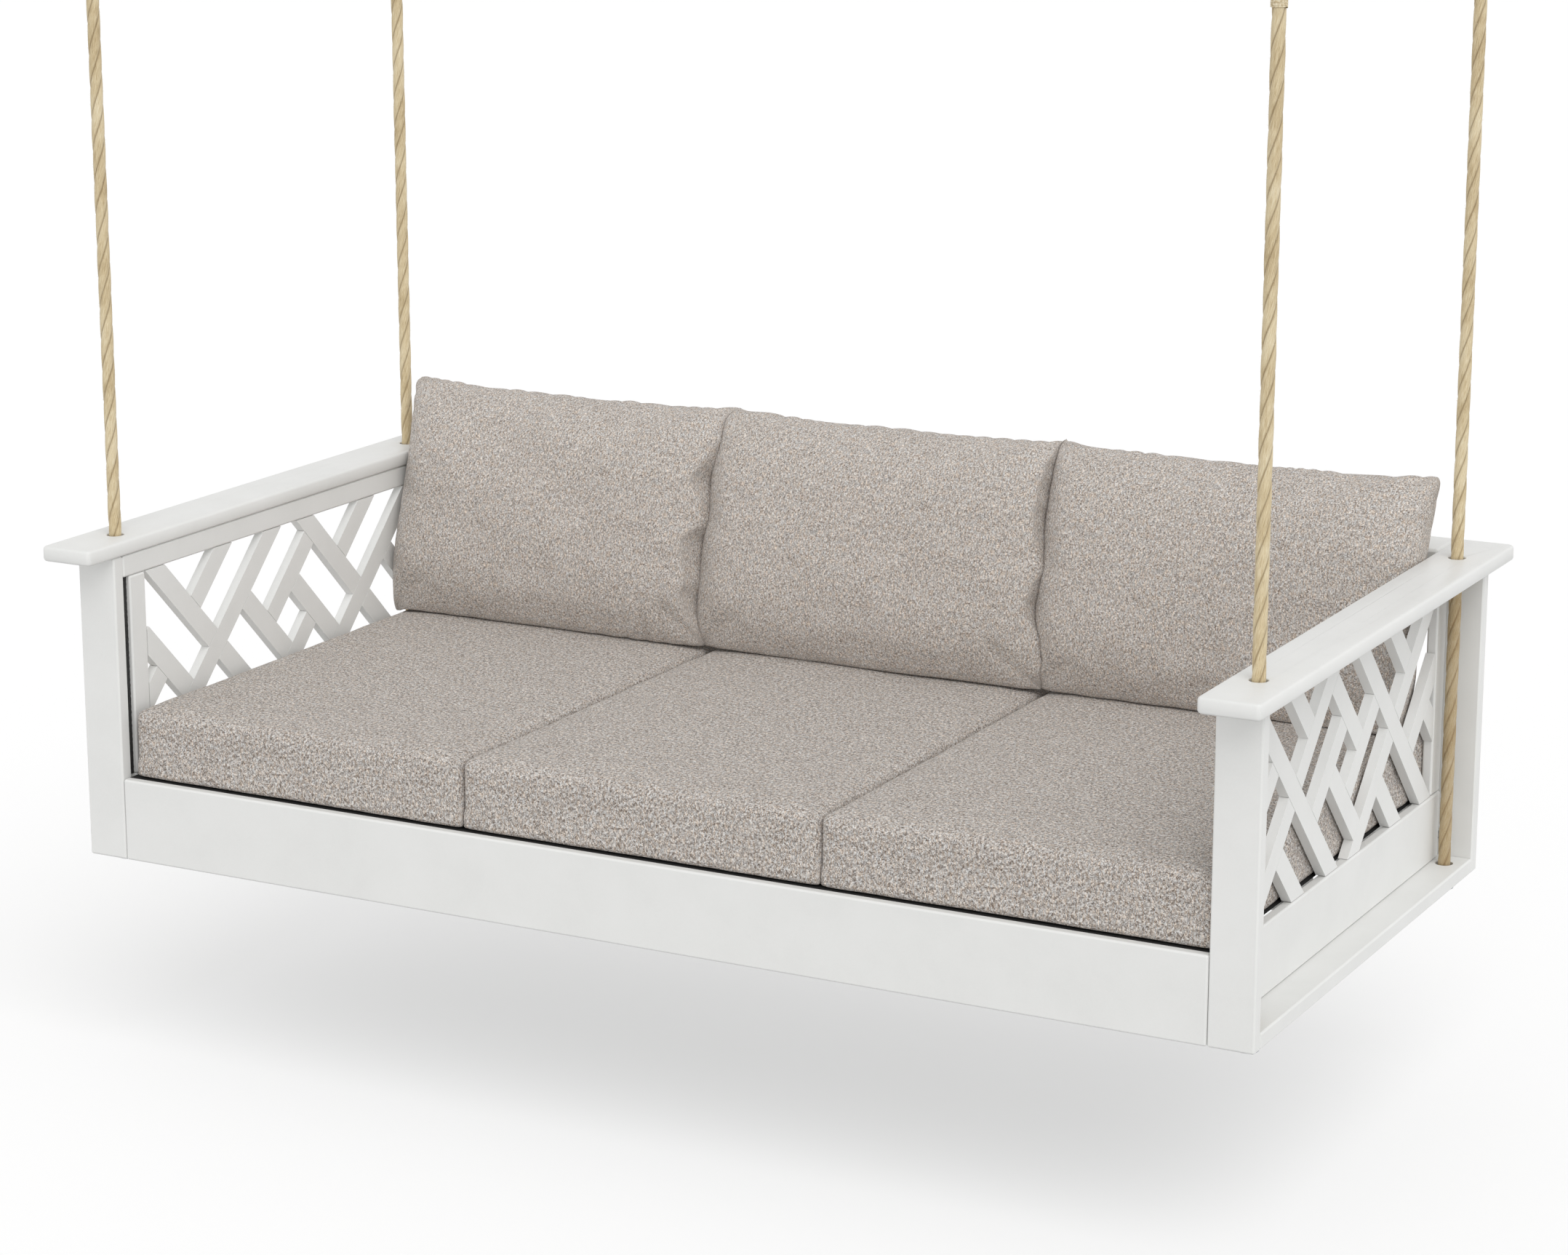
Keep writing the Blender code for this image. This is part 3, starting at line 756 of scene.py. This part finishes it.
for side_name, side in SIDES:
    low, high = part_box("side_lattice_" + side_name)
    middle = (low.x + high.x) / 2
    stile_f, stile_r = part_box("side_stile_front_" + side_name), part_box("side_stile_rear_" + side_name)
    near, far = stile_f[1].y - FRONT_Y + JOINT, stile_r[0].y - FRONT_Y - JOINT
    if side > 0:
        near, far = DEPTH - far, DEPTH - near
    lattice(
        "lattice_slats_" + side_name, "side_lattice_" + side_name, near, far, low.z - BASE_Z, high.z - BASE_Z,
        in_side_panel(middle, side > 0),
    )
low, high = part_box("back_lattice")
back_y = (low.y + high.y) / 2
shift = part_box("side_stile_front_left")[1].y - FRONT_Y - low.x
lattice(
    "lattice_slats_back", "back_lattice", low.x + shift, high.x + shift, low.z - BASE_Z, high.z - BASE_Z,
    lambda h, z, t: (h - shift, back_y + t, z + BASE_Z),
)


# ---------------------------------------------------------------- cushions
def inflate(obj, pressure, frames, cap, tension, bending=0.8):
    """Blows the closed cloth up, then keeps each point within cap of where it began."""
    rest = np.array([v.co for v in obj.data.vertices])
    cloth = obj.modifiers.new("cloth", "CLOTH")
    settings = cloth.settings
    settings.quality = 6
    settings.mass = 0.25
    settings.tension_stiffness = settings.compression_stiffness = tension
    settings.shear_stiffness = tension / 2
    settings.bending_stiffness = bending
    settings.use_pressure = True
    settings.uniform_pressure_force = pressure
    settings.effector_weights.gravity = 0.0
    settings.air_damping = 2.0
    cloth.collision_settings.use_collision = False
    cloth.point_cache.frame_start, cloth.point_cache.frame_end = 1, frames
    for n in range(1, frames + 1):
        scene.frame_set(n)
    evaluated = obj.evaluated_get(bpy.context.evaluated_depsgraph_get())
    moved = np.array([v.co for v in evaluated.data.vertices])
    obj.modifiers.remove(cloth)
    scene.frame_set(1)
    step = moved - rest
    far = np.linalg.norm(step, axis=1)
    step *= np.minimum(1.0, cap / np.maximum(far, 1e-9))[:, None]
    obj.data.vertices.foreach_set("co", (rest + step).astype(np.float32).ravel())
    obj.data.update()


def refine(obj):
    """Applies a subdivision, so that what follows can shape a finer mesh."""
    sub = obj.modifiers.new("smooth", "SUBSURF")
    sub.levels = sub.render_levels = 1
    sub.uv_smooth = "NONE"
    graph = bpy.context.evaluated_depsgraph_get()
    evaluated = obj.evaluated_get(graph)
    mesh = bpy.data.meshes.new_from_object(evaluated, preserve_all_data_layers=True, depsgraph=graph)
    obj.modifiers.remove(sub)
    old = obj.data
    obj.data = mesh
    bpy.data.meshes.remove(old)
    obj.data.shade_smooth()


def coords(obj):
    made = np.zeros(len(obj.data.vertices) * 3, np.float32)
    obj.data.vertices.foreach_get("co", made)
    return made.reshape(-1, 3).astype(float)


def set_coords(obj, points):
    obj.data.vertices.foreach_set("co", points.astype(np.float32).ravel())
    obj.data.update()


def fit(obj, low, high):
    """Scales the mesh so that its box is the one given."""
    points = coords(obj)
    lo, hi = points.min(0), points.max(0)
    low, high = np.array(low), np.array(high)
    set_coords(obj, low + (points - lo) / (hi - lo) * (high - low))


def ripple(s, seed, shortest, longest, count=7):
    """A smooth, uneven wave along s, between about -1 and 1, the same each run."""
    local = np.random.default_rng(900 + seed)
    made = np.zeros_like(s)
    for _ in range(count):
        length = local.uniform(shortest, longest)
        made += np.sin(s / length * math.tau + local.uniform(0, math.tau)) * local.uniform(0.5, 1.0)
    return made / (0.75 * math.sqrt(count))


def grid_box(name, size, cell):
    """A closed box of square-ish cells with a weave map in metres. Returns the object, centred."""
    counts = [max(2, round(s / cell)) for s in size]
    bm = bmesh.new()
    uv_layer = bm.loops.layers.uv.new("weave")
    verts = {}

    def vert(i, j, k):
        if (i, j, k) not in verts:
            verts[i, j, k] = bm.verts.new([(c / n - 0.5) * s for c, n, s in zip((i, j, k), counts, size)])
        return verts[i, j, k]

    for axis in range(3):
        a, b = [n for n in range(3) if n != axis]
        for level in (0, counts[axis]):
            for p in range(counts[a]):
                for q in range(counts[b]):
                    ring = []
                    for dp, dq in ((0, 0), (1, 0), (1, 1), (0, 1)):
                        key = [0, 0, 0]
                        key[axis], key[a], key[b] = level, p + dp, q + dq
                        s, t = (p + dp) * size[a] / counts[a], (q + dq) * size[b] / counts[b]
                        ring.append((vert(*key), s, t))
                    face = bm.faces.new([r[0] for r in ring])
                    for loop in face.loops:
                        for v, s, t in ring:
                            if v is loop.vert:
                                loop[uv_layer].uv = (s + axis * 1.37 + level * 0.01, t + axis * 0.71)
    return add_bmesh(name, bm, SEAT_CLOTH)


def round_box(points, half, radius):
    """Pulls the corners and edges of a box's points in to a rounded edge."""
    inner = half - radius
    core = np.clip(points, -inner, inner)
    out = points - core
    size = np.linalg.norm(out, axis=1)
    pulled = core + out / np.maximum(size, 1e-9)[:, None] * np.minimum(size, radius)[:, None]
    return np.where((size > 0)[:, None], pulled, points)


def square_foot(points, low, high, reach):
    """Presses the rounded lower edge of a cushion nearly square, as its weight does."""
    up = points[:, 2] - low[2]
    near_foot = np.clip(1 - up / (1.6 * reach), 0, 1) ** 0.5
    made = points.copy()
    for axis in (0, 1):
        for limit, sign in ((low[axis], 1), (high[axis], -1)):
            inside = (points[:, axis] - limit) * sign
            close = np.clip(inside / reach, 0, 1)
            made[:, axis] += np.where(inside < reach, near_foot * sign * inside * (close - 1), 0.0)
    x, y = points[:, 0], points[:, 1]
    beside = np.minimum.reduce([x - low[0], high[0] - x, y - low[1], high[1] - y])
    squash = np.where((up < reach) & (beside < reach), up * (np.clip(up / reach, 0, 1) - 1), 0.0)
    made[:, 2] += squash * np.clip(1 - beside / reach, 0, 1) ** 0.5
    return made


def seat_cushion(n):
    """A boxed foam cushion that fills its CAD node's box, with slightly uneven filling and seams."""
    low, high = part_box(f"seat_cushion_{n}")
    size = np.array(high - low)
    obj = grid_box(f"seat_pad_{n}", size - 0.006, 0.017)
    half = size / 2 - 0.003
    set_coords(obj, round_box(coords(obj), half, 0.010))
    inflate(obj, pressure=3.0, frames=16, cap=0.0045, tension=25.0)
    refine(obj)
    fit(obj, low, high)
    points = coords(obj)
    middle = (np.array(low) + np.array(high)) / 2
    away = points - middle
    half = size / 2
    u, v, w = away.T / half[:, None]
    edge = (1 - np.abs(u) ** 6) * (1 - np.abs(v) ** 6)
    # uneven filling: low, wide hollows on top
    askew = points[:, 0] + points[:, 1] * 0.6
    dips = ripple(askew, 10 * n, 0.25, 0.6) * ripple(points[:, 1], 10 * n + 1, 0.3, 0.7)
    top = np.clip(w, 0, 1) ** 4
    points[:, 2] += top * (dips * 0.0011 - 0.0012 * (1 - edge))
    # the front boxing swells a little between its seams, with small waves along them
    front = np.clip(-v, 0, 1) ** 10
    wave = ripple(points[:, 0], 10 * n + 2, 0.05, 0.16)
    points[:, 1] += front * (wave * 0.0008 * np.abs(w) ** 2)
    long_edges = np.clip(w, 0, 1) ** 8 * np.abs(v) ** 12
    points[:, 2] += long_edges * ripple(points[:, 0], 10 * n + 3, 0.06, 0.2) * 0.0009
    for side, mark in ((u, 4), (-u, 5)):
        pull = np.clip(side, 0, 1) ** 14 * ripple(points[:, 1], 10 * n + mark, 0.05, 0.18)
        points[:, 0] -= np.sign(u) * pull * 0.0011
    points = square_foot(points, np.array(low), np.array(high), 0.022)
    set_coords(obj, np.clip(points, np.array(low) + (0.0, -0.001, 0.0), np.array(high) + (0.0, 0.0, 0.0012)))
    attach(obj, "seat")
    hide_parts(f"seat_cushion_{n}")


# foot and head of the back cushions' middle plane
# 0.501 and 1.600 move measures taken from the frame's front face and underside to the part's origin
BACK_FOOT = Vector((0.0, 0.8155 - 0.501, 0.2700 - 1.600))
BACK_HEAD = Vector((0.0, 0.9400 - 0.501, 0.6770 - 1.600))
FOOT_BACK = {1: 0.005, 2: 0.012, 3: 0.020}  # each cushion's foot has slid back a different way
FOOT_MORE = 0.014  # each would stand this much lower without the seat under it
BULGE = {1: 0.078, -1: 0.080}  # how far each face stands off the seam: front, rear
# each kind of seam: a scallop's length and depth, and how far the folds beside it swell
SEAMS = {"head": (0.036, 0.0050, 0.004), "foot": (0.085, 0.0050, 0.032), "side": (0.055, 0.0038, 0.006)}
# where neighbouring back cushions press together: across, how far that slants with depth, and its lean
PRESSED = ((-0.3170, 0.38, 0.011), (0.3280, 0.20, -0.012))
PRESS_OVER = 0.022  # each would reach this far past that if it stood alone
BACK_ENDS = (-0.9715, 0.9725)
EAR_LOW, EAR_HIGH, EAR_OUT = -1.058, -0.965, 0.0150  # above the arms the outer ends spread this far over them
CAP_FRONT, CAP_LOW = 0.4800, -1.050  # the cushions rest against the back cap's front edge
SEAT_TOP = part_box("seat_cushion_1")[1].z + 0.0016
SEAT_ENDS = (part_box("seat_cushion_1")[0].x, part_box("seat_cushion_3")[1].x)
SEAT_EDGE, SEAT_DROP = 0.040, 0.011  # over this width at its ends the seat's top falls away, by this much


def even_steps(half, profile, count):
    """Positions from -1 to 1 that divide the front face's curve into equal lengths, and its whole length."""
    fine = -np.cos(np.linspace(0, math.pi, 4001))
    spots = np.stack([fine * half, BULGE[1] * profile(fine)], 1)
    along = np.concatenate([[0], np.cumsum(np.linalg.norm(np.diff(spots, axis=0), axis=1))])
    return np.interp(np.linspace(0, along[-1], count + 1), along, fine), along[-1]


def side_profile(s):
    """How full a pillow is across its width, from 0 at the seams to 1."""
    return np.maximum(0.0, 1 - np.abs(s) ** 9) ** 0.42


def end_profile(t):
    """How full it is up its height, from 0 at the seams to 1. The filling has settled towards the foot."""
    head = np.maximum(0.0, 1 - np.abs(t) ** 3.4) ** 0.60
    foot = np.maximum(0.0, 1 - np.abs(t) ** 6) ** 0.5
    return np.where(t > 0, head, foot)


def lobes(s, seed, length):
    """Rounded scallops of uneven length with sharp notches between them, from 0 to 1."""
    phase = s / length + 0.75 * ripple(s, seed, 5 * length, 12 * length, 4)
    tall = 0.65 + 0.35 * ripple(s, seed + 1, 3 * length, 8 * length, 3)
    return np.abs(np.sin(math.pi * phase)) ** 0.7 * tall


def pressed_x(k, y, z):
    """How far across the wavy surface lies where PRESSED[k]'s two cushions press together."""
    across, slant, lean = PRESSED[k]
    wave = 0.0060 * ripple(z, 60 + k, 0.11, 0.26, 4) + 0.0012 * ripple(z, 70 + k, 0.035, 0.07, 4)
    return across + wave + slant * y + lean * z / 0.21


def keep_above(value, limit, soft):
    """value held above limit, turning smoothly over a length of about soft."""
    over = value - limit
    return limit + 0.5 * (over + np.sqrt(over**2 + soft**2))


def pillow_mesh(name, wide, tall, cell):
    """Two panels sewn along a seam all round, with a weave map in metres over each."""
    s_spots, wide_cloth = even_steps(wide / 2, side_profile, round((wide + 0.10) / cell))
    t_spots, tall_cloth = even_steps(tall / 2, end_profile, round((tall + 0.09) / cell))
    across, up = len(s_spots) - 1, len(t_spots) - 1
    bm = bmesh.new()
    uv_layer = bm.loops.layers.uv.new("weave")
    grid = {}
    for face in (1, -1):
        for i, s in enumerate(s_spots):
            for j, t in enumerate(t_spots):
                rim = i in (0, across) or j in (0, up)
                if rim and face < 0:
                    grid[face, i, j] = grid[1, i, j]
                    continue
                power = 44 if t > 0 else 15  # the lower corners are rounder
                most = max(abs(s), abs(t))
                rounding = most / max(1e-9, (abs(s) ** power + abs(t) ** power) ** (1 / power))
                half = BULGE[face] * float(side_profile(s) * end_profile(t))
                sag = 0.0050 * (1 - s**4) * max(0.0, t) ** 4
                place = (s * rounding * wide / 2, -face * half, t * rounding * tall / 2 - sag)
                grid[face, i, j] = bm.verts.new(place)
        for i in range(across):
            for j in range(up):
                spots = ((i, j), (i + 1, j), (i + 1, j + 1), (i, j + 1))
                made = bm.faces.new([grid[face, a, b] for a, b in spots])
                for loop in made.loops:
                    for a, b in spots:
                        if grid[face, a, b] is loop.vert:
                            u = a / across * wide_cloth + (0 if face > 0 else 2.3)
                            loop[uv_layer].uv = (u, b / up * tall_cloth)
    return add_bmesh(name, bm, BACK_CLOTH)


def gather(points, wide, tall, n):
    """Puckers along the seams: scalloped edges, with short folds that fade away from them."""
    u, w = points[:, 0] / (wide / 2), points[:, 2] / (tall / 2)
    to_side = np.maximum((1 - np.abs(u)) * wide / 2, 0)
    to_end = np.maximum((1 - np.abs(w)) * tall / 2, 0)
    out = points[:, 1] / np.where(points[:, 1] < 0, BULGE[1], BULGE[-1])
    for gap, s, axis, sign in ((to_end, points[:, 0], 2, np.sign(w)), (to_side, points[:, 2], 0, np.sign(u))):
        for edge in (-1, 1):
            here = (sign == edge).astype(float)
            key = 400 + 40 * n + 20 * axis + 5 * edge
            length, deep, swell = SEAMS["side" if axis == 0 else "head" if edge > 0 else "foot"]
            scallop = lobes(s, key, length)
            at_seam = np.exp(-((out / 0.40) ** 2)) * np.exp(-gap / 0.030)
            points[:, axis] -= here * edge * at_seam * deep * (1 - scallop)
            fold = np.exp(-gap / 0.035) * (np.abs(out) ** 0.5)
            waves = 0.0030 * ripple(s, key + 2, 0.09, 0.20, 4)
            points[:, 1] += here * out * fold * (swell * (scallop - 0.7) + waves)
    return points


def back_cushion(n):
    """A pillow filled fully at the sides and foot, pressed by its neighbours, the seat and the back cap."""
    left = BACK_ENDS[0] if n == 1 else PRESSED[n - 2][0] - PRESS_OVER
    right = BACK_ENDS[1] if n == 3 else PRESSED[n - 1][0] + PRESS_OVER
    middle_x, wide = (left + right) / 2, right - left
    foot = BACK_FOOT + Vector((0.0, FOOT_BACK[n], 0.0))
    rise = BACK_HEAD - foot
    tall = rise.length + FOOT_MORE
    obj = pillow_mesh(f"back_pillow_{n}", wide, tall, 0.0115)
    inflate(obj, pressure=3.0, frames=14, cap=0.009, tension=14.0, bending=0.5)
    refine(obj)
    points = coords(obj)
    lo, hi = points.min(0), points.max(0)
    points[:, 0] = (points[:, 0] - lo[0]) / (hi[0] - lo[0]) * wide - wide / 2
    points[:, 2] = (points[:, 2] - lo[2]) / (hi[2] - lo[2]) * tall - tall / 2
    points[:, 1] *= np.where(points[:, 1] < 0, BULGE[1] / -lo[1], BULGE[-1] / hi[1])
    points = gather(points, wide, tall, n)
    u, w = points[:, 0] / (wide / 2), points[:, 2] / (tall / 2)
    # slack cloth: broad soft dents across the face
    body = np.clip((1 - np.abs(u) ** 4) * (1 - np.abs(w) ** 4), 0, 1)
    dents = ripple(points[:, 0] + 0.4 * points[:, 2], 7 * n, 0.20, 0.45)
    dents = dents * ripple(points[:, 2] - 0.3 * points[:, 0], 7 * n + 1, 0.16, 0.4)
    points[:, 1] += np.sign(points[:, 1]) * body * dents * 0.0030
    # the front is flatter towards the foot
    points[:, 1] *= np.where(points[:, 1] < 0, 1 - 0.50 * np.clip(-w, 0, 1) ** 2, 1)
    # the filling pushes the outer ends out square, low down beside the panel and in the corner above the arm
    outer = np.clip(-u if n == 1 else u, 0, 1) if n != 2 else 0 * u
    low_full = 0.42 * np.clip((0.25 - w) / 0.6, 0, 1)
    points[:, 0] += np.sign(u) * low_full * outer**4 * np.clip(1 - outer, 0, 1) * wide / 2
    points[:, 1] *= np.where(points[:, 1] > 0, 1 + 0.30 * outer**4 * np.clip(-2 * w, 0, 1), 1)
    points[:, 2] -= 0.015 * outer**6 * np.clip(-w, 0, 1) ** 5  # the foot's corner sags over the seat's edge
    points[:, 0] += np.sign(u) * outer**6 * EAR_OUT * np.clip((w - 0.25) / 0.7, 0, 1) ** 1.5
    if n == 3:  # the filling has sunk away from the lower corner at the arm
        thin = 0.58 * np.clip((u + 0.4) / 1.4, 0, 1) * np.clip((0.3 - w) / 1.3, 0, 1)
        points[:, 1] *= np.where(points[:, 1] < 0, 1 - thin, 1)
    points[:, 0] += middle_x
    if n > 1:
        limit = pressed_x(n - 2, points[:, 1], points[:, 2]) + 0.0003
        points[:, 0] = keep_above(points[:, 0], limit, 0.0030)
    if n < 3:
        limit = -pressed_x(n - 1, points[:, 1], points[:, 2]) + 0.0003
        points[:, 0] = -keep_above(-points[:, 0], limit, 0.0030)
    set_coords(obj, points)
    tilt = Matrix.Rotation(-math.atan2(rise.y, rise.z), 4, "X")
    middle = (foot + BACK_HEAD) / 2 - rise.normalized() * FOOT_MORE / 2
    obj.data.transform(Matrix.Translation(middle) @ tilt)
    points = coords(obj)
    past = np.maximum(SEAT_ENDS[0] + SEAT_EDGE - points[:, 0], points[:, 0] - SEAT_ENDS[1] + SEAT_EDGE)
    drop = SEAT_DROP * (np.clip(past, 0, 1.2 * SEAT_EDGE) / SEAT_EDGE) ** 3
    points[:, 2] = keep_above(points[:, 2], SEAT_TOP - drop, 0.0012)
    rear = CAP_FRONT + 1.5 * np.maximum(0.0, points[:, 2] - CAP_LOW)
    points[:, 1] = -keep_above(-points[:, 1], -rear, 0.0020)
    over = EAR_OUT * np.clip((points[:, 2] - EAR_LOW) / (EAR_HIGH - EAR_LOW), 0, 1)
    points[:, 0] = np.clip(points[:, 0], BACK_ENDS[0] - over, BACK_ENDS[1] + over)
    set_coords(obj, points)
    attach(obj, "seat")
    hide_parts(f"back_cushion_{n}")


def deck_shade_sheet():
    """A black sheet laid on the deck under the seat cushions: painted shadow for the dark gap beneath them.
    """
    low = Vector((-0.9735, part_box("front_apron")[1].y + 0.0010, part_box("deck_slat_1")[1].z + 0.00015))
    high = Vector((0.9735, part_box("rear_apron")[0].y - 0.0010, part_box("seat_cushion_1")[0].z - 0.00015))
    bm = bmesh.new()
    bmesh.ops.create_cube(bm, size=1.0)
    for vert in bm.verts:
        vert.co = [low[k] if vert.co[k] < 0 else high[k] for k in range(3)]
    obj = add_bmesh("seat_liner", bm, DECK_SHADE, turn_out=False)
    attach(obj, "seat")


deck_shade_sheet()
for n in (1, 2, 3):
    seat_cushion(n)
for n in (1, 2, 3):
    back_cushion(n)
